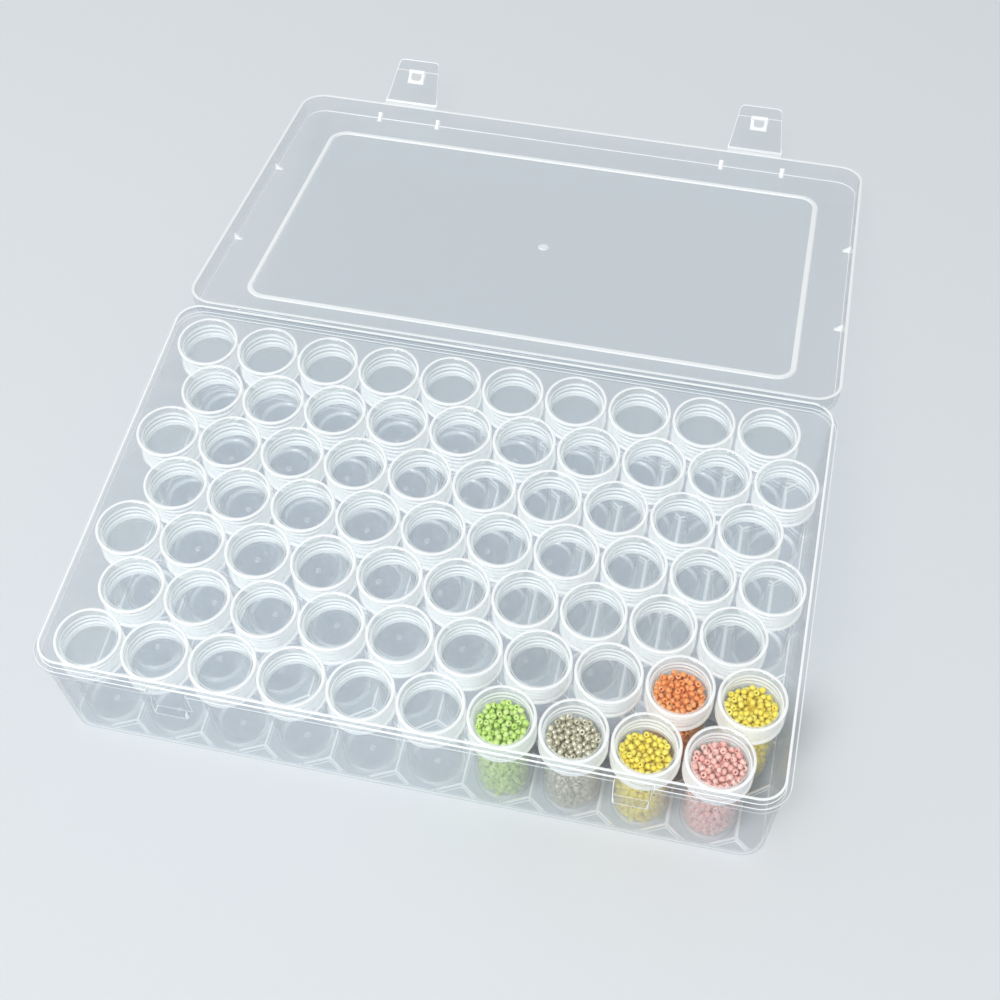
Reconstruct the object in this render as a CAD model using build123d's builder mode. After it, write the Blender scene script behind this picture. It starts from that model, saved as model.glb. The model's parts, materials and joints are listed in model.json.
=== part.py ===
from build123d import *
import os
from math import cos, floor, radians, sin, sqrt, tan

# A clear plastic storage box for craft beads: an open tray with a living-hinged lid, two snap
# latches, and seventy small screw-cap jars standing in honeycomb cells on the tray's floor.
# The origin is the centre of the tray's underside. X runs along the box, Y towards the hinge,
# Z up. The lid lies open behind the tray. All sizes are in millimetres and degrees.

# Rim of the tray, shared by the lid that closes on it
rim_length = 278
rim_width = 177
rim_corner = 11.5
ledge_height = 52.2
flange_drop = 3.5
seat_gap = 0.3

# Tray walls, floor and the upright lip inside the closed lid
lip_height = 3.3
lip_wall = 1
tray_wall = 1.4
tray_draft = 1.5
tray_floor = 1.5
foot_bevel = 1.2
finger_gap_length = 184.8
finger_ledge = 0.5

# Honeycomb ribs on the floor, one cell for each jar
row_stagger = 10.4
rib_height = 2
rib_thickness = 1
rib_zigzag = 3.75

# Lid
lid_wall = 1.4
lid_floor = 1.5
lid_inner_depth = 8
lid_draft = 5
lid_edge_radius = 2.5
lid_tilt = 12.26
hinge_gap = 2.7
ridge_margin_x = 19
ridge_margin_y = 18.8
ridge_corner = 9
ridge_width = 2
ridge_height = 0.6
gate_radius = 2.2
gate_depth = 0.4

# Stiffening gussets inside the lid
gusset_start = 4
gusset_reach = 3
gusset_thickness = 1.6
gusset_spread = 14.8
side_gusset_span = 59.5

# Hinge webs between the tray's rim and the lid
web_length = 40
web_inset = 43
web_thickness = 0.4

# Latches on the lid's front edge and the catches on the tray, placed from the rim's ends
latch_inset = 53
latch_root_width = 26
latch_tip_width = 20
latch_length = 24
latch_thickness = 1.2
latch_offset = 0.6
latch_rise = 38
latch_pivot_reach = 1.6
latch_pivot_gap = 0.15
latch_tip_radius = 2.5
land_thickness = 0.5
window_width = 5
window_height = 3.4
frame_width = 1.3
frame_height = 0.5
hook_start = 16.3
hook_height = 1.7
hook_width = 8
hook_depth = 1.5
tab_step = 0.4
catch_inset = 54
catch_width = 13.3
catch_nose_height = 3
catch_slope_height = 12.4
catch_chamfer = 0.6
latch_clearance = 0.3

# Jars and caps, packed as closely as the caps allow
jar_radius = 10.9
jar_wall = 1.2
jar_floor = 1.6
jar_foot_gap = 0.2
cap_wall = 1.4
cap_height = 11.5
cap_top = 1.4
cap_gap = 0.6
thread_gap = 0.4
cap_lift = 0.3
cap_headroom = 0.1
wall_play = 0.7
jar_sides = 8
cap_sides = 12
cap_edge = 0.6
bead_gap = 0.3
bead_drop = 4.6

# How far each row of jars has slid in its cells, from the front row to the back
row_slide_x = (1.5, -0.8, -0.4, 0.4, -0.4, 0.1, 0.8)
row_slide_y = (-0.7, 0.5, 0.6, 0.2, -0.4, -0.5, -0.7)

# Filled jars in the two front rows: each one's row, and its place counted from the right-hand end
filled_jars = {
    "green": (0, 3),
    "bronze": (0, 2),
    "yellow_front": (0, 1),
    "pink": (0, 0),
    "orange": (1, 1),
    "yellow_back": (1, 0),
}

# Sizes that follow from the ones above
lid_wall_lean = lip_height * tan(radians(lid_draft))
ledge_width = lid_wall + lid_wall_lean + seat_gap
lip_length = rim_length - 2 * ledge_width
lip_width = rim_width - 2 * ledge_width
lip_corner = rim_corner - ledge_width
cavity_length = lip_length - 2 * lip_wall
cavity_width = lip_width - 2 * lip_wall
cavity_corner = lip_corner - lip_wall
lip_lean = lip_height * tan(radians(tray_draft))
body_length = cavity_length - 2 * lip_lean + 2 * tray_wall
body_width = cavity_width - 2 * lip_lean + 2 * tray_wall
body_corner = cavity_corner + tray_wall
floor_shrink = (ledge_height + lip_height - tray_floor) * tan(radians(tray_draft))
ribs_length = cavity_length - 2 * floor_shrink + tray_wall
ribs_width = cavity_width - 2 * floor_shrink + tray_wall
ribs_corner = cavity_corner + tray_wall / 2

cap_radius = jar_radius + thread_gap + cap_wall
jar_pitch = 2 * cap_radius + cap_gap
row_pitch = sqrt(jar_pitch**2 - row_stagger**2)
columns = 1 + floor((cavity_length - row_stagger - 2 * cap_radius - 2 * wall_play) / jar_pitch)
rows = 1 + floor((cavity_width - 2 * cap_radius - 2 * wall_play) / row_pitch)

web_spacing = rim_length / 2 - web_inset
latch_x = rim_length / 2 - latch_inset
catch_x = rim_length / 2 - catch_inset
hinge_y = (rim_width + hinge_gap) / 2
hinge_z = ledge_height
lid_depth = lid_inner_depth + lid_floor
lid_near = hinge_gap / 2
lid_far = lid_near + rim_width
lid_middle = lid_near + rim_width / 2
lid_plane = Plane(
    origin=(0, hinge_y, hinge_z),
    x_dir=(1, 0, 0),
    z_dir=(0, sin(radians(lid_tilt)), cos(radians(lid_tilt))),
)
lid_rim_plane = lid_plane.offset(-seat_gap)
lid_floor_plane = lid_rim_plane.offset(-lid_inner_depth)
lid_up = Axis(lid_plane.origin, lid_plane.z_dir)

pivot_y = lid_far + latch_pivot_reach
pivot_z = -seat_gap - land_thickness / 2
catch_bottom = hinge_z - pivot_z - hook_start + latch_clearance
catch_nose_y = hinge_y - pivot_y - latch_offset + frame_height + latch_clearance
jar_foot = tray_floor + jar_foot_gap
cap_level = ledge_height - cap_headroom
jar_height = cap_level - cap_top - cap_lift - jar_foot
cap_bottom = cap_level - cap_height
cap_bore = jar_radius + thread_gap
jar_turn = 180 / jar_sides
cap_turn = 180 / cap_sides


# Where the jar of one row and column stands
def jar_place(row, column):
    slide = row % len(row_slide_x)
    x = (column - (columns - 1) / 2) * jar_pitch + (row % 2 - 0.5) * row_stagger + row_slide_x[slide]
    y = (row - (rows - 1) / 2) * row_pitch + row_slide_y[slide]
    return (x, y)


# Places of the empty jars in one row
def empty_places(row):
    taken = list(filled_jars.values())
    return [jar_place(row, column) for column in range(columns) if (row, columns - 1 - column) not in taken]


# Centres of the floor cells in the even or the odd rows, with part cells round the edge
def cell_centres(parity):
    centres = []
    for row in range(-1, rows + 1):
        if row % 2 == parity:
            y = (row - (rows - 1) / 2) * row_pitch
            for column in range(-1, columns + 1):
                x = (column - (columns - 1) / 2) * jar_pitch + (parity - 0.5) * row_stagger
                centres.append((x, y))
    return centres


# One cell: upright sides midway between jars, and a point where the next row's side begins
cell_side = row_pitch / 2 - rib_zigzag
cell_point = row_pitch / 2 + rib_zigzag
cell_point_x = row_stagger - jar_pitch / 2
with BuildSketch() as floor_cell:
    Polygon(
        (-jar_pitch / 2, -cell_side),
        (cell_point_x, -cell_point),
        (jar_pitch / 2, -cell_side),
        (jar_pitch / 2, cell_side),
        (cell_point_x, cell_point),
        (-jar_pitch / 2, cell_side),
        align=None,
    )
    offset(amount=-rib_thickness / 2, kind=Kind.INTERSECTION, mode=Mode.REPLACE)

os.makedirs("parts", exist_ok=True)

# The hollow of the tray, from the top of its lip down to its floor
with BuildPart() as tray_hollow:
    with BuildSketch(Plane.XY.offset(ledge_height + lip_height)) as hollow_outline:
        Rectangle(cavity_length, cavity_width)
    extrude(amount=tray_floor - ledge_height - lip_height)
    draft(
        tray_hollow.faces().filter_by(Axis.Z, reverse=True),
        neutral_plane=Plane.XY.offset(ledge_height + lip_height),
        angle=-tray_draft,
    )
    fillet(tray_hollow.edges().filter_by(Plane.XY, reverse=True), radius=cavity_corner)

# Tray: drafted walls, a stepped rim with a ledge and an upright lip, catches and floor ribs
with BuildPart() as base_tray:
    with BuildSketch(Plane.XY.offset(ledge_height)) as wall_outline:
        Rectangle(body_length, body_width)
    extrude(amount=-ledge_height)
    draft(
        base_tray.faces().filter_by(Axis.Z, reverse=True),
        neutral_plane=Plane.XY.offset(ledge_height),
        angle=-tray_draft,
    )
    fillet(base_tray.edges().filter_by(Plane.XY, reverse=True), radius=body_corner)
    chamfer(base_tray.faces().sort_by(Axis.Z)[0].edges(), length=foot_bevel)
    with BuildSketch(Plane.XY.offset(ledge_height - flange_drop)) as flange_outline:
        RectangleRounded(rim_length, rim_width, rim_corner)
        with Locations((0, -lip_width / 2 - finger_ledge)):
            Rectangle(
                finger_gap_length,
                ledge_width,
                align=(Align.CENTER, Align.MAX),
                mode=Mode.SUBTRACT,
            )
    extrude(amount=flange_drop)
    with BuildSketch(Plane.XY.offset(ledge_height)) as lip_outline:
        RectangleRounded(lip_length, lip_width, lip_corner)
    extrude(amount=lip_height)
    with BuildSketch(Plane.YZ.offset(catch_x)) as catch_profile:
        Polygon(
            (-cavity_width / 2 - lip_wall / 2, catch_bottom),
            (catch_nose_y, catch_bottom),
            (catch_nose_y, catch_bottom + catch_nose_height),
            (-lip_width / 2 - finger_ledge, catch_bottom + catch_nose_height + catch_slope_height),
            (-cavity_width / 2 - lip_wall / 2, catch_bottom + catch_nose_height + catch_slope_height),
            align=None,
        )
    extrude(amount=catch_width / 2, both=True)
    with BuildSketch(Plane.YZ.offset(-catch_x)) as left_catch_profile:
        add(catch_profile.sketch_local)
    extrude(amount=catch_width / 2, both=True)
    chamfer(base_tray.edges().filter_by(Axis.Z).group_by(Axis.Y)[0], length=catch_chamfer)
    add(tray_hollow.part, mode=Mode.SUBTRACT)
    with BuildSketch(Plane.XY.offset(tray_floor)) as honeycomb:
        RectangleRounded(ribs_length, ribs_width, ribs_corner)
        with Locations(*cell_centres(0)):
            add(floor_cell.sketch, mode=Mode.SUBTRACT)
        with Locations(*cell_centres(1)):
            add(floor_cell.sketch, rotation=180, mode=Mode.SUBTRACT)
    extrude(amount=rib_height)
base_tray.part.label = "base_tray"
export_step(base_tray.part, "parts/base_tray.step")

# The hollow of the lid, in the plane of the open lid
with BuildPart() as lid_hollow:
    with BuildSketch(lid_rim_plane) as lid_cavity:
        with Locations((0, lid_middle)):
            Rectangle(rim_length - 2 * lid_wall, rim_width - 2 * lid_wall)
    extrude(amount=-lid_inner_depth)
    draft(lid_hollow.faces().filter_by(lid_up, reverse=True), neutral_plane=lid_rim_plane, angle=-lid_draft)
    fillet(lid_hollow.edges().group_by(lid_up, tol_digits=2)[1], radius=rim_corner - lid_wall)

# Lid: a shallow drafted pan, drawn as it lies open, with a framed panel and eight gussets
with BuildPart() as lid:
    with BuildSketch(lid_rim_plane) as lid_outline:
        with Locations((0, lid_middle)):
            Rectangle(rim_length, rim_width)
    extrude(amount=-lid_depth)
    draft(lid.faces().filter_by(lid_up, reverse=True), neutral_plane=lid_rim_plane, angle=-lid_draft)
    fillet(lid.edges().group_by(lid_up, tol_digits=2)[1], radius=rim_corner)
    fillet(lid.faces().sort_by(lid_up)[0].edges(), radius=lid_edge_radius)
    add(lid_hollow.part, mode=Mode.SUBTRACT)
    with BuildSketch(lid_floor_plane) as lid_ridge:
        with Locations((0, lid_middle)):
            RectangleRounded(
                rim_length - 2 * ridge_margin_x,
                rim_width - 2 * ridge_margin_y,
                ridge_corner,
            )
            RectangleRounded(
                rim_length - 2 * ridge_margin_x - 2 * ridge_width,
                rim_width - 2 * ridge_margin_y - 2 * ridge_width,
                ridge_corner - ridge_width,
                mode=Mode.SUBTRACT,
            )
    extrude(amount=ridge_height)
    with BuildSketch(lid_floor_plane.offset(-lid_floor)) as gate_mark:
        with Locations((0, lid_middle)):
            Circle(gate_radius)
    extrude(amount=gate_depth, mode=Mode.SUBTRACT)

    # A gusset is a triangle from the wall below the lip to a foot on the lid's floor
    gusset_top = -seat_gap - gusset_start
    gusset_foot = -seat_gap - lid_inner_depth
    gusset_lean = lid_inner_depth * tan(radians(lid_draft))
    far_wall = lid_far - lid_wall / 2
    inner_x = latch_x - gusset_spread
    outer_x = latch_x + gusset_spread
    for x in (-outer_x, -inner_x, inner_x, outer_x):
        rib_plane = Plane(
            origin=lid_plane.from_local_coords((x, 0, 0)),
            x_dir=lid_plane.y_dir,
            z_dir=lid_plane.x_dir,
        )
        with BuildSketch(rib_plane) as far_gusset:
            Polygon(
                (far_wall, gusset_top),
                (far_wall - gusset_lean, gusset_foot),
                (lid_far - lid_wall - gusset_lean - gusset_reach, gusset_foot),
                align=None,
            )
        extrude(amount=gusset_thickness / 2, both=True)
    for side in (-1, 1):
        side_wall = side * (rim_length / 2 - lid_wall / 2)
        side_foot = side * (rim_length / 2 - lid_wall - gusset_lean - gusset_reach)
        for y in (lid_middle - side_gusset_span / 2, lid_middle + side_gusset_span / 2):
            rib_plane = Plane(
                origin=lid_plane.from_local_coords((0, y, 0)),
                x_dir=lid_plane.x_dir,
                z_dir=-lid_plane.y_dir,
            )
            with BuildSketch(rib_plane) as side_gusset:
                Polygon(
                    (side_wall, gusset_top),
                    (side_wall - side * gusset_lean, gusset_foot),
                    (side_foot, gusset_foot),
                    align=None,
                )
            extrude(amount=gusset_thickness / 2, both=True)

    # Thin lands that carry the latches along the front edge
    with BuildSketch(lid_rim_plane) as latch_lands:
        with Locations((-latch_x, lid_far - lid_wall / 2), (latch_x, lid_far - lid_wall / 2)):
            Rectangle(
                latch_root_width,
                lid_wall / 2 + latch_pivot_reach - latch_pivot_gap,
                align=(Align.CENTER, Align.MIN),
            )
    extrude(amount=-land_thickness)
lid.part.label = "lid"
export_step(lid.part, "parts/lid.step")

# Hinge webs: thin strips on the tray's rim that fold between it and the lid
for name, x in (("left", -web_spacing), ("middle", 0), ("right", web_spacing)):
    with BuildPart() as hinge_web:
        with BuildSketch(Plane.XY.offset(ledge_height - web_thickness)) as web_outline:
            with Locations((x, rim_width / 2)):
                Rectangle(web_length, hinge_gap - web_thickness, align=(Align.CENTER, Align.MIN))
        extrude(amount=web_thickness)
    hinge_web.part.label = name + "_hinge_web"
    export_step(hinge_web.part, "parts/" + name + "_hinge_web.step")

# Latches: tapered arms with a window, a framed edge and a hook, standing bent up at rest
arm_along = lid_plane.y_dir * cos(radians(latch_rise)) + lid_plane.z_dir * sin(radians(latch_rise))
for name, side in (("left", -1), ("right", 1)):
    arm_plane = Plane(
        origin=lid_plane.from_local_coords((side * latch_x, pivot_y, pivot_z)),
        x_dir=(1, 0, 0),
        z_dir=Vector(1, 0, 0).cross(arm_along),
    )
    inner_plane = arm_plane.offset(-latch_offset)
    with BuildPart() as latch:
        with BuildSketch(inner_plane) as arm_outline:
            Polygon(
                (-latch_root_width / 2, 2 * latch_pivot_gap),
                (latch_root_width / 2, 2 * latch_pivot_gap),
                (latch_tip_width / 2, latch_length),
                (-latch_tip_width / 2, latch_length),
                align=None,
            )
            fillet(arm_outline.vertices().group_by(Axis.Y)[-1], radius=latch_tip_radius)
        extrude(amount=-latch_thickness)
        with BuildSketch(inner_plane) as root_bar:
            with Locations((0, 2 * latch_pivot_gap)):
                Rectangle(latch_root_width, latch_thickness, align=(Align.CENTER, Align.MIN))
        extrude(amount=latch_offset - land_thickness / 4)
        with BuildSketch(inner_plane) as window_frame:
            with Locations((0, hook_start)):
                Rectangle(
                    window_width + 2 * frame_width,
                    window_height + frame_width,
                    align=(Align.CENTER, Align.MAX),
                )
        extrude(amount=frame_height)
        with BuildSketch(inner_plane) as hook_outline:
            with Locations((0, hook_start)):
                Rectangle(hook_width, hook_height, align=(Align.CENTER, Align.MIN))
        extrude(amount=hook_depth)
        with BuildSketch(inner_plane.offset(frame_height)) as window:
            with Locations((0, hook_start)):
                Rectangle(window_width, window_height, align=(Align.CENTER, Align.MAX))
            fillet(window.vertices().group_by(Axis.Y)[0], radius=window_width / 3)
        extrude(amount=-frame_height - latch_thickness, mode=Mode.SUBTRACT)
        with BuildSketch(inner_plane) as tab_recess:
            with Locations((0, hook_start + hook_height)):
                Rectangle(latch_root_width, latch_length, align=(Align.CENTER, Align.MIN))
        extrude(amount=-tab_step, mode=Mode.SUBTRACT)
    latch.part.label = name + "_latch"
    export_step(latch.part, "parts/" + name + "_latch.step")

# Empty jars and their caps, one group for each row, with flat-sided walls
for row in range(rows):
    places = empty_places(row)
    with BuildPart() as jars:
        with BuildSketch(Plane.XY.offset(jar_foot)) as jar_walls:
            with Locations(*places):
                RegularPolygon(jar_radius, jar_sides, rotation=jar_turn)
        extrude(amount=jar_height)
        with BuildSketch(Plane.XY.offset(jar_foot + jar_floor)) as jar_bores:
            with Locations(*places):
                RegularPolygon(jar_radius - jar_wall, jar_sides, rotation=jar_turn)
        extrude(amount=jar_height - jar_floor, mode=Mode.SUBTRACT)
    jars.part.label = "jars_row_" + str(row + 1)
    export_step(jars.part, "parts/jars_row_" + str(row + 1) + ".step")
    with BuildPart() as caps:
        with BuildSketch(Plane.XY.offset(cap_bottom)) as cap_walls:
            with Locations(*places):
                RegularPolygon(cap_radius, cap_sides, rotation=cap_turn)
        extrude(amount=cap_height)
        with BuildSketch(Plane.XY.offset(cap_bottom)) as cap_bores:
            with Locations(*places):
                RegularPolygon(cap_bore, cap_sides, major_radius=False, rotation=cap_turn)
        extrude(amount=cap_height - cap_top, mode=Mode.SUBTRACT)
    caps.part.label = "caps_row_" + str(row + 1)
    export_step(caps.part, "parts/caps_row_" + str(row + 1) + ".step")

# Filled jars: a jar, a cap with a softened top edge, and the beads inside
for name, (row, place_from_right) in filled_jars.items():
    place = jar_place(row, columns - 1 - place_from_right)
    with BuildPart() as jar:
        with BuildSketch(Plane.XY.offset(jar_foot)) as jar_wall_outline:
            with Locations(place):
                RegularPolygon(jar_radius, cap_sides, rotation=cap_turn)
        extrude(amount=jar_height)
        with BuildSketch(Plane.XY.offset(jar_foot + jar_floor)) as jar_bore:
            with Locations(place):
                RegularPolygon(jar_radius - jar_wall, cap_sides, rotation=cap_turn)
        extrude(amount=jar_height - jar_floor, mode=Mode.SUBTRACT)
    jar.part.label = name + "_jar"
    export_step(jar.part, "parts/" + name + "_jar.step")
    with BuildPart() as cap:
        with BuildSketch(Plane.XY.offset(cap_bottom)) as cap_wall_outline:
            with Locations(place):
                RegularPolygon(cap_radius, cap_sides, rotation=cap_turn)
        extrude(amount=cap_height)
        chamfer(cap.faces().sort_by(Axis.Z)[-1].edges(), length=cap_edge)
        with BuildSketch(Plane.XY.offset(cap_bottom)) as cap_bore_outline:
            with Locations(place):
                RegularPolygon(cap_bore, cap_sides, major_radius=False, rotation=cap_turn)
        extrude(amount=cap_height - cap_top, mode=Mode.SUBTRACT)
    cap.part.label = name + "_cap"
    export_step(cap.part, "parts/" + name + "_cap.step")
    with BuildPart() as beads:
        with BuildSketch(Plane.XY.offset(jar_foot + jar_floor + bead_gap)) as bead_fill:
            with Locations(place):
                RegularPolygon(jar_radius - jar_wall - bead_gap, cap_sides, rotation=cap_turn)
        extrude(amount=cap_level - bead_drop - jar_foot - jar_floor - bead_gap)
    beads.part.label = name + "_beads"
    export_step(beads.part, "parts/" + name + "_beads.step")
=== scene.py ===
import json
import math
import random

import bpy
import numpy as np
from mathutils import Euler, Matrix, Vector


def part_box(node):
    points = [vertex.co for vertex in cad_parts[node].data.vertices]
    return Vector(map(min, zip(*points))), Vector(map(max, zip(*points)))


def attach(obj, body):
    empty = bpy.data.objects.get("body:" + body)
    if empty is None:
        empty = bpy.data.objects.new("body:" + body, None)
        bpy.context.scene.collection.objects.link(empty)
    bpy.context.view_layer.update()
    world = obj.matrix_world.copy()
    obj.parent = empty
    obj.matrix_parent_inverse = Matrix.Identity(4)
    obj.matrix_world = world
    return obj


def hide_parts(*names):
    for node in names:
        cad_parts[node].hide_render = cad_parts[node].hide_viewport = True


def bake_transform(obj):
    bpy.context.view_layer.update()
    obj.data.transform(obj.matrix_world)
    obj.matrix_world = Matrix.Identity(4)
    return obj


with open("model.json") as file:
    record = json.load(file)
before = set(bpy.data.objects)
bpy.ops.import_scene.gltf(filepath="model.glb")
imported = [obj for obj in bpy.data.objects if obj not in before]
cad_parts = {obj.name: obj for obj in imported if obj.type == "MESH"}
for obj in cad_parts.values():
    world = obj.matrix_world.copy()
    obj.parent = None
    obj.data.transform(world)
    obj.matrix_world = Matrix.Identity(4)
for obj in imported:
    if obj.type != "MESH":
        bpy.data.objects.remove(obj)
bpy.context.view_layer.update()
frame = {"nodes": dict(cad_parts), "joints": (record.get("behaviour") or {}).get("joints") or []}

mm = 0.001

# Camera at the photograph's angle, solved from its straight edges and jar rows
cameraView = {
    "place": (0.09724, -0.31104, 0.56046),
    "right": (0.97652, 0.21457, -0.01935),
    "down": (0.16813, -0.81516, -0.55429),
    "forward": (-0.13471, 0.53802, -0.83210),
    "lens": 56.88,
    "sensor": 36,
    "nearest": 10 * mm,
}


def makeCamera(view):
    camera = bpy.data.objects.new("camera", bpy.data.cameras.new("camera"))
    bpy.context.scene.collection.objects.link(camera)
    columns = (Vector(view["right"]), -Vector(view["down"]), -Vector(view["forward"]))
    turn = Matrix(columns).transposed()
    camera.matrix_world = Matrix.Translation(view["place"]) @ turn.to_4x4()
    camera.data.lens = view["lens"]
    camera.data.sensor_width = view["sensor"]
    camera.data.clip_start = view["nearest"]
    bpy.context.scene.camera = camera


# Plain studio: a pale floor and backdrop, one soft box high at the front left, a weak fill and an even sky
studio = {
    "floorColour": "#D2D6D9",
    "floorSize": 6.0,
    "floorDrop": 0.2 * mm,  # keeps the floor clear of the box's flat underside
    "floorRoughness": 0.75,
    "floorGrain": 900.0,
    "floorBump": 0.03,
    "floorBumpDepth": 0.2 * mm,
    "skyColour": "#EEF1F3",
    "backdropColour": "#DADEE1",
    "skyStrength": 0.58,
    "keyPlace": (-1.0, -1.4, 2.9),
    "keySize": 1.6,
    "keyPower": 76.0,
    "fillPlace": (0.3, -1.5, 0.8),
    "fillSize": 1.2,
    "fillPower": 5.0,
}


def toLinear(hexColour):
    shares = [int(hexColour[i:i + 2], 16) / 255 for i in (1, 3, 5)]
    return [s / 12.92 if s <= 0.04045 else ((s + 0.055) / 1.055) ** 2.4 for s in shares] + [1.0]


def addNode(tree, kind, settings=None, values=None, links=None):
    node = tree.nodes.new(kind)
    for name, value in (settings or {}).items():
        setattr(node, name, value)
    for socket, value in (values or {}).items():
        node.inputs[socket].default_value = value
    for socket, source in (links or {}).items():
        tree.links.new(source, node.inputs[socket])
    return node


def newMaterial(name):
    material = bpy.data.materials.new(name)
    material.use_nodes = True
    material.node_tree.nodes.clear()
    return material


def makeFloorMaterial(look):
    material = newMaterial("paintedBoard")  # matt painted board, rolled
    tree = material.node_tree
    place = addNode(tree, "ShaderNodeTexCoord")
    grain = addNode(tree, "ShaderNodeTexNoise", values={"Scale": look["floorGrain"]},
                    links={"Vector": place.outputs["Object"]})
    bump = addNode(tree, "ShaderNodeBump",
                   values={"Strength": look["floorBump"], "Distance": look["floorBumpDepth"]},
                   links={"Height": grain.outputs["Fac"]})
    paint = addNode(tree, "ShaderNodeBsdfPrincipled",
                    values={"Base Color": toLinear(look["floorColour"]), "Roughness": look["floorRoughness"]},
                    links={"Normal": bump.outputs["Normal"]})
    addNode(tree, "ShaderNodeOutputMaterial", links={"Surface": paint.outputs["BSDF"]})
    return material


def makeLamp(name, place, size, power):
    lamp = bpy.data.objects.new(name, bpy.data.lights.new(name, "AREA"))
    lamp.data.shape = "DISK"
    lamp.data.size = size
    lamp.data.energy = power
    lamp.location = place
    lamp.rotation_euler = (-Vector(place)).to_track_quat("-Z", "Y").to_euler()
    bpy.context.scene.collection.objects.link(lamp)


def makeStudio(look):
    bpy.ops.mesh.primitive_plane_add(size=look["floorSize"], location=(0, 0, -look["floorDrop"]))
    floor = bpy.context.object
    floor.name = "floor"
    floor.data.materials.append(makeFloorMaterial(look))
    world = bpy.data.worlds.new("studio")
    bpy.context.scene.world = world
    world.use_nodes = True
    world.node_tree.nodes.clear()
    sky = addNode(world.node_tree, "ShaderNodeBackground",
                  values={"Color": toLinear(look["skyColour"]), "Strength": look["skyStrength"]})
    backdrop = addNode(world.node_tree, "ShaderNodeBackground",
                       values={"Color": toLinear(look["backdropColour"]), "Strength": 1.0})
    rays = addNode(world.node_tree, "ShaderNodeLightPath")
    seen = addNode(world.node_tree, "ShaderNodeMixShader",
                   links={0: rays.outputs["Is Camera Ray"], 1: sky.outputs["Background"],
                          2: backdrop.outputs["Background"]})
    addNode(world.node_tree, "ShaderNodeOutputWorld", links={"Surface": seen.outputs["Shader"]})
    makeLamp("keySoftBox", look["keyPlace"], look["keySize"], look["keyPower"])
    makeLamp("fillSoftBox", look["fillPlace"], look["fillSize"], look["fillPower"])
    bpy.context.scene.view_settings.view_transform = "Standard"
    bpy.context.scene.cycles.transparent_max_bounces = 32


# Clear mouldings. Each has a wall finish and, on its rounded edges and narrow ends, painted edge light: a
# whiter and denser colour that stands for the light that travels along a translucent wall and comes out at
# its edges.
# Cover is how much of what lies behind one skin hides when seen square on, and grazing when seen edge on.
# Through is the share of its milk that is lit from behind. Shade is the colour that one skin leaves of the
# lamps' light.
plastics = {
    # Polypropylene, injection moulded and left natural: milky, glossy, faintly rippled by flow
    "naturalPolypropylene": {
        "colour": "#DFE5E8", "pale": "#F2F5F7", "clear": "#F9FAFB", "shade": "#FBFCFC",
        "cover": 0.018, "grazing": 0.45, "through": 0.45, "roughness": 0.2, "ripple": 0.12},
    # painted edge light of the box: whiter and denser than its wall, for light piped along the wall to its
    # edges
    "naturalPolypropylenePaintedEdgeLight": {
        "colour": "#FBFDFD", "pale": "#FFFFFF", "clear": "#F8F9FA", "shade": "#FBFCFC",
        "cover": 0.9, "grazing": 0.97, "through": 0.12, "roughness": 0.3, "ripple": 0.0},
    # Polystyrene, injection moulded: water clear and hard
    "crystalPolystyrene": {
        "colour": "#E4EBEC", "pale": "#F6F9F9", "clear": "#FDFDFE", "shade": "#FEFEFE",
        "cover": 0.012, "grazing": 0.45, "through": 0.45, "roughness": 0.08, "ripple": 0.06},
    "crystalPolystyrenePaintedEdgeLight": {
        # painted edge light of the jars: whiter and denser than their wall, for light piped along the wall to
        # its edges
        "colour": "#FBFDFD", "pale": "#FFFFFF", "clear": "#FBFCFC", "shade": "#FDFEFE",
        "cover": 0.5, "grazing": 0.9, "through": 0.2, "roughness": 0.15, "ripple": 0.0},
    # Softer polypropylene of the screw caps: a whiter skirt and a clear polished top
    "capPolypropylene": {
        "colour": "#F8FBFB", "pale": "#FFFFFF", "clear": "#FBFCFC", "shade": "#FCFDFD",
        "cover": 0.3, "grazing": 0.8, "through": 0.35, "roughness": 0.25, "ripple": 0.05},
    "capPolypropylenePaintedEdgeLight": {
        # painted edge light of the caps: whiter and denser than their skirt, for light piped along the wall
        # to its edges
        "colour": "#FDFEFE", "pale": "#FFFFFF", "clear": "#FBFCFC", "shade": "#FBFCFC",
        "cover": 0.85, "grazing": 0.97, "through": 0.12, "roughness": 0.25, "ripple": 0.0},
    "capPolypropyleneTop": {
        "colour": "#E4EBEC", "pale": "#F6F9F9", "clear": "#FDFEFE", "shade": "#FEFEFE",
        "cover": 0.015, "grazing": 0.4, "through": 0.45, "roughness": 0.08, "ripple": 0.06},
}

# What all the clear mouldings share
clearWall = {
    "flowLength": 14 * mm,
    "flowDetail": 1.0,
    "flowDepth": 0.3 * mm,
    "index": 1.49,
    "milkPower": 3.6,  # how late the milkiness rises towards grazing angles
    "glossPower": 5.0,
    "leastGloss": 0.02,
    "mostGloss": 0.5,
    "glossRoughness": 0.6,
}


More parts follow.
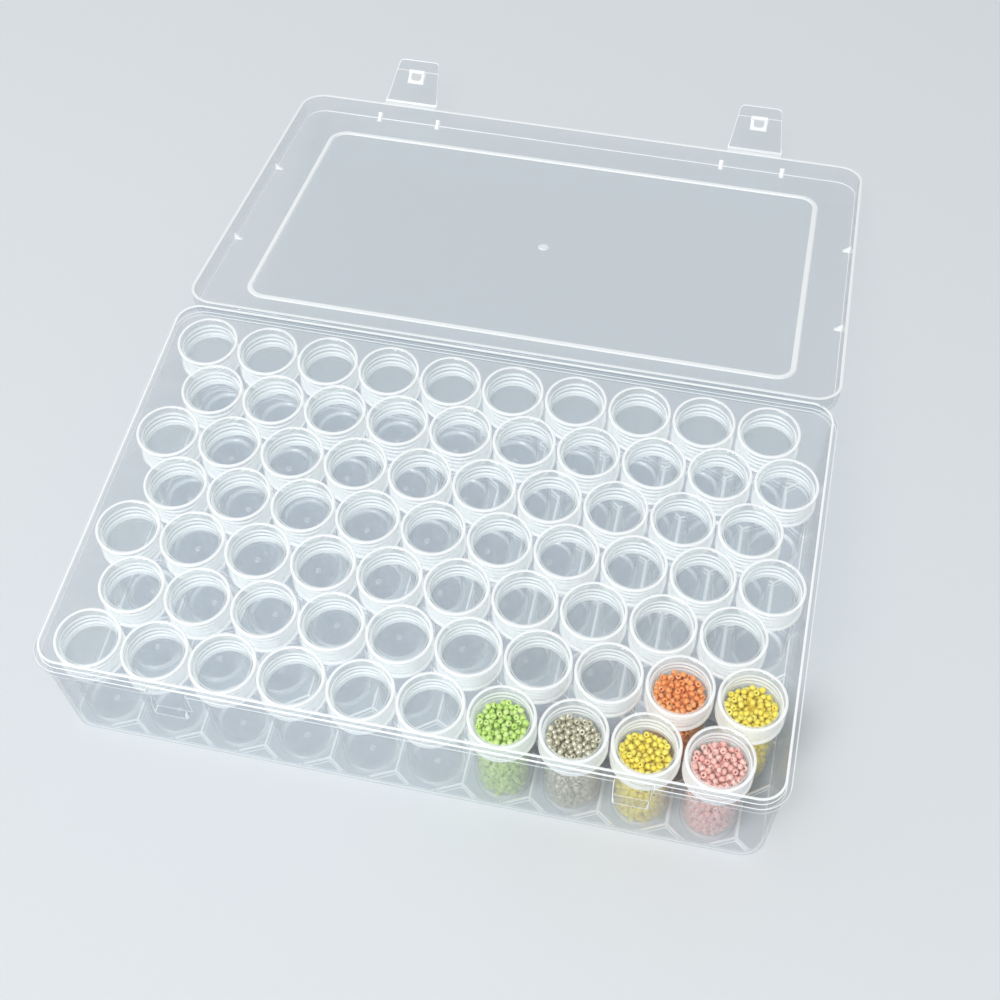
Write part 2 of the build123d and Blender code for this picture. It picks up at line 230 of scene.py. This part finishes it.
def makePlastic(name, look, wallLook):
    material = newMaterial(name)
    tree = material.node_tree
    place = addNode(tree, "ShaderNodeTexCoord")
    flow = addNode(tree, "ShaderNodeTexNoise",
                   values={"Scale": 1 / wallLook["flowLength"], "Detail": wallLook["flowDetail"]},
                   links={"Vector": place.outputs["Object"]})
    bump = addNode(tree, "ShaderNodeBump",
                   values={"Strength": look["ripple"], "Distance": wallLook["flowDepth"]},
                   links={"Height": flow.outputs["Fac"]})
    slope = addNode(tree, "ShaderNodeLayerWeight", values={"Blend": 0.5})
    grazing = addNode(tree, "ShaderNodeMath", {"operation": "POWER"}, {1: wallLook["milkPower"]},
                      {0: slope.outputs["Facing"]})
    cover = addNode(tree, "ShaderNodeMapRange", values={"To Min": look["cover"], "To Max": look["grazing"]},
                    links={"Value": grazing.outputs["Value"]})
    tint = addNode(tree, "ShaderNodeMix", {"data_type": "RGBA"},
                   {"A": toLinear(look["colour"]), "B": toLinear(look["pale"])},
                   {"Factor": grazing.outputs["Value"]})
    body = addNode(tree, "ShaderNodeBsdfPrincipled",
                   values={"Roughness": look["roughness"], "IOR": wallLook["index"]},
                   links={"Base Color": tint.outputs["Result"], "Normal": bump.outputs["Normal"]})
    glow = addNode(tree, "ShaderNodeBsdfTranslucent", links={"Color": tint.outputs["Result"]})
    milk = addNode(tree, "ShaderNodeMixShader", values={0: look["through"]},
                   links={1: body.outputs["BSDF"], 2: glow.outputs["BSDF"]})  # lit from either side
    clear = addNode(tree, "ShaderNodeBsdfTransparent", values={"Color": toLinear(look["clear"])})
    wall = addNode(tree, "ShaderNodeMixShader",
                   links={0: cover.outputs["Result"], 1: clear.outputs["BSDF"], 2: milk.outputs["Shader"]})
    gloss = addNode(tree, "ShaderNodeBsdfGlossy",
                    values={"Roughness": look["roughness"] * wallLook["glossRoughness"]},
                    links={"Normal": bump.outputs["Normal"]})
    steep = addNode(tree, "ShaderNodeMath", {"operation": "POWER"}, {1: wallLook["glossPower"]},
                    {0: slope.outputs["Facing"]})
    shine = addNode(tree, "ShaderNodeMapRange",
                    values={"To Min": wallLook["leastGloss"], "To Max": wallLook["mostGloss"]},
                    links={"Value": steep.outputs["Value"]})
    skin = addNode(tree, "ShaderNodeMixShader",
                   links={0: shine.outputs["Result"], 1: wall.outputs["Shader"], 2: gloss.outputs["BSDF"]})
    rays = addNode(tree, "ShaderNodeLightPath")
    letThrough = addNode(tree, "ShaderNodeBsdfTransparent", values={"Color": toLinear(look["shade"])})
    lit = addNode(tree, "ShaderNodeMixShader",
                  links={0: rays.outputs["Is Shadow Ray"], 1: skin.outputs["Shader"],
                         2: letThrough.outputs["BSDF"]})
    addNode(tree, "ShaderNodeOutputMaterial", links={"Surface": lit.outputs["Shader"]})
    return material


# Seed beads of coloured glass, drawn, cut and fired: glossy and cloudy, so that light spreads a little
# inside, and each a shade lighter or darker than the next. The bronze ones have a fired metal coat.
beadGlass = {
    "green": {"colour": "#D6EE98", "dark": "#BEE074", "metallic": 0.0, "roughness": 0.25, "glow": 0.7},
    "bronze": {"colour": "#E4DFC8", "dark": "#C2BCA2", "metallic": 0.4, "roughness": 0.35, "glow": 0.2},
    "yellow": {"colour": "#FFE96C", "dark": "#FFDE4E", "metallic": 0.0, "roughness": 0.25, "glow": 0.8},
    "pink": {"colour": "#FFCCC2", "dark": "#FFB8AE", "metallic": 0.0, "roughness": 0.25, "glow": 0.8},
    "orange": {"colour": "#FFAC70", "dark": "#FF9C58", "metallic": 0.0, "roughness": 0.25, "glow": 0.8},
}
glowDepth = 1.2 * mm


def makeBeadGlass(name, look):
    material = newMaterial(name + "BeadGlass")
    tree = material.node_tree
    island = addNode(tree, "ShaderNodeNewGeometry")
    shade = addNode(tree, "ShaderNodeMix", {"data_type": "RGBA"},
                    {"A": toLinear(look["colour"]), "B": toLinear(look["dark"])},
                    {"Factor": island.outputs["Random Per Island"]})
    glass = addNode(tree, "ShaderNodeBsdfPrincipled",
                    values={"Roughness": look["roughness"], "Metallic": look["metallic"],
                            "Subsurface Weight": look["glow"], "Subsurface Radius": (1, 1, 1),
                            "Subsurface Scale": glowDepth},
                    links={"Base Color": shade.outputs["Result"]})
    addNode(tree, "ShaderNodeOutputMaterial", links={"Surface": glass.outputs["BSDF"]})
    return material


def finishPiece(piece, name, body, nodes):
    piece.name = name
    piece.data.name = name
    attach(piece, body)
    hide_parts(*nodes)


def activate(piece):
    bpy.ops.object.select_all(action="DESELECT")
    piece.select_set(True)
    bpy.context.view_layer.objects.active = piece


# The moulded box keeps the shapes of its solids, with every edge rounded as a mould rounds it
boxEdges = {
    "merge": 0.002 * mm,
    "flatAngle": 0.4,  # in degrees, like the other angles
    "radius": 0.25 * mm,
    "steps": 2,
    "sharpAngle": 24,
    "smoothAngle": 35,
    "narrow": 1.5 * mm,  # the widest face that still counts as the end of a wall
    "narrowLid": 2.2 * mm,
    "sharpShare": 0.75,
    "slim": 4.5 * mm,
}


# A narrow face with sharp edges on both sides is the end of a wall, a rib or a lip, and gets the whiter
# painted edge light.
# Slim faces with many corners, as rims are, are selected, to be cut up before they are rounded.
def markFaces(piece, look, narrow):
    normals = {}
    for face in piece.data.polygons:
        for key in face.edge_keys:
            normals.setdefault(key, []).append(face.normal)
    corners = piece.data.vertices
    sharpAngle = math.radians(look["sharpAngle"])
    for face in piece.data.polygons:
        around, sharp = 0, 0
        for key in face.edge_keys:
            length = (corners[key[0]].co - corners[key[1]].co).length
            around += length
            if len(normals[key]) == 2 and normals[key][0].angle(normals[key][1], 0) > sharpAngle:
                sharp += length
        width = 2 * face.area / around
        face.select = width < look["slim"] and len(face.vertices) > 4
        if width < narrow and sharp / around > look["sharpShare"]:
            # painted edge light on the ends of walls, ribs and lips
            face.material_index = 1


def dressMoulding(node, name, body, look, materials):
    piece = bpy.data.objects.new(name, frame["nodes"][node].data.copy())
    bpy.context.scene.collection.objects.link(piece)
    activate(piece)
    bpy.ops.object.mode_set(mode="EDIT")
    bpy.ops.mesh.select_all(action="SELECT")
    bpy.ops.mesh.customdata_custom_splitnormals_clear()
    bpy.ops.mesh.remove_doubles(threshold=look["merge"])
    bpy.ops.mesh.dissolve_limited(angle_limit=math.radians(look["flatAngle"]))
    bpy.ops.mesh.select_mode(type="FACE")
    bpy.ops.mesh.select_all(action="DESELECT")
    bpy.ops.object.mode_set(mode="OBJECT")
    piece.data.materials.clear()
    for finish in materials:
        piece.data.materials.append(finish)
    markFaces(piece, look, look["narrowLid"] if node == "lid" else look["narrow"])
    bpy.ops.object.mode_set(mode="EDIT")
    bpy.ops.mesh.quads_convert_to_tris()  # cuts up the selected slim faces
    bpy.ops.mesh.select_all(action="DESELECT")
    bpy.ops.object.mode_set(mode="OBJECT")
    rounding = piece.modifiers.new("roundedEdges", "BEVEL")
    rounding.width = look["radius"]
    rounding.segments = look["steps"]
    rounding.limit_method = "ANGLE"
    rounding.angle_limit = math.radians(look["sharpAngle"])
    rounding.use_clamp_overlap = False
    # the rounded edges get the painted edge light
    rounding.material = 1
    bpy.ops.object.modifier_apply(modifier="roundedEdges")
    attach(piece, body)
    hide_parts(node)
    activate(piece)
    bpy.ops.object.shade_smooth_by_angle(angle=math.radians(look["smoothAngle"]))
    flat = piece.modifiers.new("flatWalls", "WEIGHTED_NORMAL")  # keeps the wide walls flat up to their edges
    flat.keep_sharp = True
    bpy.ops.object.modifier_apply(modifier="flatWalls")


# A thin strip of the same plastic, ridged along its length, for the place where the box folds between two
# stiff parts
def makeFold(name, width, length, look, materials):
    bpy.ops.mesh.primitive_grid_add(x_subdivisions=1, y_subdivisions=look["steps"], size=1)
    strip = bpy.context.object
    strip.name = name
    strip.scale = (width * mm, length * mm, 1)
    bpy.ops.object.transform_apply(location=True, rotation=True, scale=True)
    for corner in strip.data.vertices:
        along = corner.co.y / (length * mm)
        corner.co.z = look["ridge"] * mm * math.cos(2 * math.pi * look["ridges"] * along)
    sheet = strip.modifiers.new("sheet", "SOLIDIFY")
    sheet.thickness = look["thickness"] * mm
    sheet.offset = 0
    bpy.ops.object.modifier_apply(modifier="sheet")
    bpy.ops.object.shade_smooth_by_angle(angle=math.radians(look["smoothAngle"]))
    for finish in materials:
        strip.data.materials.append(finish)
    return strip


# In millimetres and degrees, as all the sizes from here on
hingeFold = {
    "steps": 18,
    "ridge": 0.1,
    "ridges": 3,
    "thickness": 0.3,
    "smoothAngle": 40,
    "overlap": 0.35,
    "drop": 0.35,
}


def makeHingeFold(side, look, materials):
    low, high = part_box(side + "_hinge_web")
    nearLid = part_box("lid")[0].y
    start, end = low.y - look["overlap"] * mm, nearLid + look["overlap"] * mm
    strip = makeFold(side + "HingeWeb", (high.x - low.x) / mm, (end - start) / mm, look, materials)
    middle = Vector(((low.x + high.x) / 2, (start + end) / 2, high.z - look["drop"] * mm))
    strip.data.transform(Matrix.Translation(middle))
    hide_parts(side + "_hinge_web")
    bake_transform(strip)


latchFold = {
    "steps": 12,
    "ridge": 0.05,
    "ridges": 2,
    "thickness": 0.3,
    "smoothAngle": 40,
    "width": 25,
    "length": 2.2,
    "lean": 12.26,  # how far the open lid slopes down
    "rise": 38,  # how far the latch stands up from the lid
}


def makeLatchFold(side, look, materials):
    joint = next(j for j in frame["joints"] if j["name"] == side + "_latch_hinge")
    pivot = Vector(joint["pos_m"])
    lean, rise = math.radians(-look["lean"]), math.radians(look["rise"] - look["lean"])
    strip = makeFold(side + "LatchFold", look["width"], look["length"], look, materials)
    for corner in strip.data.vertices:  # flat with the lid before the fold, raised with the latch after it
        turn = Matrix.Rotation(lean if corner.co.y < 0 else rise, 4, "X")
        corner.co = pivot + turn @ corner.co
    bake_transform(strip)


turning = {"merge": 0.01, "smoothAngle": 32, "shortStep": 0.95}


# A small plane merged to one point, from which a profile is drawn
def addPoint(name):
    bpy.ops.object.select_all(action="DESELECT")
    bpy.ops.mesh.primitive_plane_add(size=1 * mm, location=(0, 0, 0), calc_uvs=False)
    piece = bpy.context.object
    piece.name = name
    piece.data.name = name
    bpy.ops.object.mode_set(mode="EDIT")
    bpy.ops.mesh.select_mode(type="VERT")
    bpy.ops.mesh.select_all(action="SELECT")
    bpy.ops.mesh.merge(type="CENTER")
    bpy.ops.object.mode_set(mode="OBJECT")
    return piece


# A turned shape: a profile of (radius, height) is drawn from point to point and spun about the upright axis
def turnShape(name, profile, steps):
    points = [Vector((radius, 0, height)) * mm for radius, height in profile]
    piece = addPoint(name)
    bpy.ops.object.mode_set(mode="EDIT")
    bpy.ops.mesh.select_all(action="SELECT")
    bpy.ops.transform.translate(value=points[0])
    for last, point in zip(points, points[1:]):
        bpy.ops.mesh.extrude_vertices_move(TRANSFORM_OT_translate={"value": point - last})
    bpy.ops.mesh.select_all(action="SELECT")
    bpy.ops.mesh.spin(steps=steps, angle=2 * math.pi, center=(0, 0, 0), axis=(0, 0, 1))
    bpy.ops.mesh.select_all(action="SELECT")
    bpy.ops.mesh.remove_doubles(threshold=turning["merge"] * mm)
    bpy.ops.mesh.normals_make_consistent(inside=False)
    bpy.ops.object.mode_set(mode="OBJECT")
    bpy.ops.object.shade_smooth_by_angle(angle=math.radians(turning["smoothAngle"]))
    return piece


# Short steps of a profile are its lips, threads and rounded edges, which get the whiter painted edge light
def markShortSteps(piece, longest):
    for face in piece.data.polygons:
        corners = [piece.data.vertices[v].co for v in face.vertices]
        radii = [math.hypot(c.x, c.y) for c in corners]
        heights = [c.z for c in corners]
        if math.hypot(max(radii) - min(radii), max(heights) - min(heights)) < longest:
            face.material_index = 1


# One thread ring of a profile: it stands out from the wall by its depth, inwards where that is below zero
def threadRing(wall, depth, height, halfFoot, halfCrest):
    return [(wall, height - halfFoot), (wall + depth, height - halfCrest),
            (wall + depth, height + halfCrest), (wall, height + halfFoot)]


jar = {
    "radius": 10.9,
    "wall": 1.0,
    "underside": 0.7,  # raised inside a foot ring, with the gate's dimple at its middle
    "dimple": 1.1,
    "dimpleDepth": 0.25,
    "footRing": (9.4, 10.2),
    "floor": 1.6,
    "shoulder": 37.4,
    "neck": 10.5,
    "bore": 10.0,
    "top": 48.7,
    "threads": (40.6, 43.0, 45.4),
    "threadDepth": 0.35,
    "threadFoot": 0.6,
    "threadCrest": 0.15,
    "steps": 48,
}


def turnJar(sizes):
    radius, neck, bore, top = sizes["radius"], sizes["neck"], sizes["bore"], sizes["top"]
    under, dimple, shoulder = sizes["underside"], sizes["dimple"], sizes["shoulder"]
    footStart, footEnd = sizes["footRing"]
    inner = radius - sizes["wall"]
    profile = [(0, under), (dimple - 0.2, under), (dimple, under - sizes["dimpleDepth"])]
    profile += [(dimple + 0.3, under), (footStart - 0.8, under), (footStart - 0.4, 0.2), (footStart, 0)]
    profile += [(footEnd, 0), (footEnd + 0.5, 0.3), (radius, 0.9), (radius, shoulder)]
    profile += [(radius - 0.2, shoulder + 0.5), (neck, shoulder + 0.9)]
    for height in sizes["threads"]:
        profile += threadRing(neck, sizes["threadDepth"], height, sizes["threadFoot"], sizes["threadCrest"])
    profile += [(neck, top - 0.5), (neck - 0.1, top - 0.1), (neck - 0.25, top), (bore + 0.25, top)]  # the lip
    profile += [(bore + 0.1, top - 0.1), (bore, top - 0.4), (bore, shoulder + 0.8)]
    profile += [(inner, shoulder - 0.6), (inner, sizes["floor"] + 1.4), (inner - 0.3, sizes["floor"] + 0.6)]
    profile += [(inner - 1.0, sizes["floor"] + 0.1), (0, sizes["floor"])]
    shape = turnShape("jarShape", profile, sizes["steps"])
    markShortSteps(shape, turning["shortStep"] * mm)
    return shape


cap = {
    "radius": 12.7,
    "height": 11.5,
    "bore": 11.35,
    "ceiling": 10.1,
    "rim": 1.25,
    "recess": 0.35,
    "threads": (2.6, 5.0, 7.4),
    "threadDepth": 0.45,
    "threadFoot": 0.55,
    "threadCrest": 0.12,
    "topSkin": 2.0,  # faces this close to the top are its clear panel
    "steps": 56,
}


def turnCap(sizes):
    radius, height, bore, ceiling = sizes["radius"], sizes["height"], sizes["bore"], sizes["ceiling"]
    panel, level = radius - sizes["rim"], height - sizes["recess"]
    profile = [(0, level), (panel - 0.35, level), (panel, height - 0.1), (panel + 0.25, height)]
    profile += [(radius - 0.55, height), (radius - 0.2, height - 0.15), (radius - 0.1, height - 0.6)]
    profile += [(radius - 0.1, 1.5), (radius, 1.1), (radius, 0.4), (radius - 0.25, 0.1), (radius - 0.6, 0)]
    profile += [(bore + 0.3, 0), (bore + 0.05, 0.2), (bore, 0.6)]
    for place in sizes["threads"]:
        profile += threadRing(bore, -sizes["threadDepth"], place, sizes["threadFoot"], sizes["threadCrest"])
    profile += [(bore, ceiling - 0.6), (bore - 0.4, ceiling), (0, ceiling)]
    shape = turnShape("capShape", profile, sizes["steps"])
    markShortSteps(shape, turning["shortStep"] * mm)
    for face in shape.data.polygons:  # the flat top is polished clear
        middle = face.center
        if math.hypot(middle.x, middle.y) < panel * mm and middle.z > (height - sizes["topSkin"]) * mm:
            face.material_index = 2
    return shape


def copyTo(shape, places, name, body, node):
    bpy.ops.object.select_all(action="DESELECT")
    for place in places:
        one = bpy.data.objects.new(name, shape.data.copy())
        one.data.transform(Matrix.Translation(place))
        bpy.context.scene.collection.objects.link(one)
        one.select_set(True)
    bpy.context.view_layer.objects.active = one
    if len(places) > 1:
        bpy.ops.object.join()
    finishPiece(bpy.context.view_layer.objects.active, name, body, [node])


jarPitch = 26


# Where a node's jars or caps stand: its box holds one row, evenly spaced
def rowPlaces(node):
    low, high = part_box(node)
    radius, pitch = (high.y - low.y) / 2, jarPitch * mm
    count = round((high.x - low.x - 2 * radius) / pitch) + 1
    return [Vector((low.x + radius + i * pitch, (low.y + high.y) / 2, low.z)) for i in range(count)]


bead = {
    "radius": 1.3,
    "hole": 0.45,
    "length": 1.9,
    "steps": 9,
    "spacing": 2.0,  # between the centres of beads that touch
    "wallShare": 0.75,  # of the radius, from the jar's wall to the outermost centres
    "floorShare": 0.7,
    "choices": 10,  # places tried for each bead, of which it takes the lowest
    "tries": 40,  # beads turned away before a jar counts as full
    "smallest": 0.88,
    "largest": 1.04,
    "skin": 2.6,  # beads both deeper inside than the skin and further down than the cover don't show
    "cover": 4.0,
    "coreSides": 24,
    "coreOverlap": 1.0,
    "coreCover": 2.6,
}

# How far the top of each fill is raised from the top of its solid
beadLevels = {
    "green": 0.0,
    "bronze": -0.5,
    "yellow_front": -3.0,
    "pink": 0.3,
    "orange": -0.5,
    "yellow_back": -1.5,
}


def turnBead(sizes):
    radius, hole, half = sizes["radius"], sizes["hole"], sizes["length"] / 2
    upper = [(hole, half * 0.7), (hole + 0.3, half), (radius * 0.85, half * 0.75)]
    lower = [(reach, -height) for reach, height in reversed(upper)]
    return turnShape("beadShape", [*upper, (radius, 0), *lower, upper[0]], sizes["steps"])


# Beads are dropped one by one, each resting on those below
def dropBeads(inner, bottom, level, sizes, chance):
    spacing = sizes["spacing"]
    settled = np.zeros((0, 3))
    refused = 0
    while refused < sizes["tries"]:
        best = None
        for attempt in range(sizes["choices"]):
            angle, reach = chance.uniform(0, 2 * math.pi), inner * math.sqrt(chance.random())
            x, y = reach * math.cos(angle), reach * math.sin(angle)
            near = settled[(settled[:, 0] - x) ** 2 + (settled[:, 1] - y) ** 2 < spacing ** 2]
            flat = (near[:, 0] - x) ** 2 + (near[:, 1] - y) ** 2
            z = max([bottom, *(near[:, 2] + np.sqrt(spacing ** 2 - flat))])
            if best is None or z < best[2]:
                best = (x, y, z)
        if best[2] > level:
            refused += 1
        else:
            settled = np.vstack((settled, best))
    return settled


# One mesh of many beads, each turned and sized by chance
def scatterBeads(name, shape, centre, places, sizes, chance):
    corners = np.array([v.co for v in shape.data.vertices])
    faces = [list(f.vertices) for f in shape.data.polygons]
    allCorners, allFaces = [], []
    for x, y, z in places:
        turn = Euler([chance.uniform(0, 2 * math.pi) for axis in range(3)]).to_matrix()
        place = np.array((centre.x + x * mm, centre.y + y * mm, z * mm))
        size = chance.uniform(sizes["smallest"], sizes["largest"])
        allFaces += [[v + len(allCorners) * len(corners) for v in face] for face in faces]
        allCorners.append(corners @ np.array(turn).T * size + place)
    mesh = bpy.data.meshes.new(name)
    mesh.from_pydata(np.vstack(allCorners).tolist(), [], allFaces)
    piece = bpy.data.objects.new(name, mesh)
    bpy.context.scene.collection.objects.link(piece)
    activate(piece)
    bpy.ops.object.shade_smooth()
    return piece


# Only the beads that show are kept, around a plain core
def fillWithBeads(name, body, shape, sizes, material, chance):
    low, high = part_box(name + "_beads")
    centre = (low + high) / 2
    inner = jar["radius"] - jar["wall"] - sizes["radius"] * sizes["wallShare"]
    bottom = low.z / mm + sizes["radius"] * sizes["floorShare"]
    level = high.z / mm - sizes["radius"] + beadLevels[name]
    rest = dropBeads(inner, bottom, level, sizes, chance)
    reach = np.hypot(rest[:, 0], rest[:, 1])
    rest = rest[(reach > inner - sizes["skin"]) | (rest[:, 2] > level - sizes["cover"])]
    piece = scatterBeads(name + "Beads", shape, centre, rest, sizes, chance)
    coreTop = level - sizes["coreCover"]
    bpy.ops.mesh.primitive_cylinder_add(
        vertices=sizes["coreSides"], radius=(inner - sizes["skin"] + sizes["coreOverlap"]) * mm,
        depth=(coreTop - bottom) * mm, location=(centre.x, centre.y, (coreTop + bottom) / 2 * mm))
    piece.select_set(True)
    bpy.context.view_layer.objects.active = piece
    bpy.ops.object.transform_apply(location=True, rotation=True, scale=True)
    bpy.ops.object.join()
    piece.data.materials.append(material)
    finishPiece(piece, name + "Beads", body, [name + "_beads"])
    print("beads", name, len(rest))


makeCamera(cameraView)
makeStudio(studio)
print("camera and studio made")

plastic = {name: makePlastic(name, look, clearWall) for name, look in plastics.items()}
beadMaterials = {name: makeBeadGlass(name, look) for name, look in beadGlass.items()}
print("materials made")

boxPlastic = [plastic["naturalPolypropylene"], plastic["naturalPolypropylenePaintedEdgeLight"]]
dressMoulding("base_tray", "tray", "tray", boxEdges, boxPlastic)
dressMoulding("lid", "lidMoulding", "lid", boxEdges, boxPlastic)
dressMoulding("left_latch", "leftLatch", "left_latch", boxEdges, boxPlastic)
dressMoulding("right_latch", "rightLatch", "right_latch", boxEdges, boxPlastic)
for side in ("left", "middle", "right"):
    makeHingeFold(side, hingeFold, boxPlastic)
for side in ("left", "right"):
    makeLatchFold(side, latchFold, boxPlastic)
print("box made")

jarShape = turnJar(jar)
for finish in ("crystalPolystyrene", "crystalPolystyrenePaintedEdgeLight"):
    jarShape.data.materials.append(plastic[finish])
capShape = turnCap(cap)
for finish in ("capPolypropylene", "capPolypropylenePaintedEdgeLight", "capPolypropyleneTop"):
    capShape.data.materials.append(plastic[finish])
for row in range(1, 8):
    jarNode, capNode = "jars_row_" + str(row), "caps_row_" + str(row)
    copyTo(jarShape, rowPlaces(jarNode), "jarsRow" + str(row), jarNode, jarNode)
    copyTo(capShape, rowPlaces(capNode), "capsRow" + str(row), capNode, capNode)
print("empty jars made")

beadShape = turnBead(bead)
chance = random.Random(7)
for name in beadLevels:
    jarNode, capNode = name + "_jar", name + "_cap"
    copyTo(jarShape, rowPlaces(jarNode), name + "Jar", jarNode, jarNode)
    copyTo(capShape, rowPlaces(capNode), name + "Cap", capNode, capNode)
    fillWithBeads(name, jarNode, beadShape, bead, beadMaterials[name.split("_")[0]], chance)
print("filled jars made")

for shape in (jarShape, capShape, beadShape):
    bpy.data.objects.remove(shape)
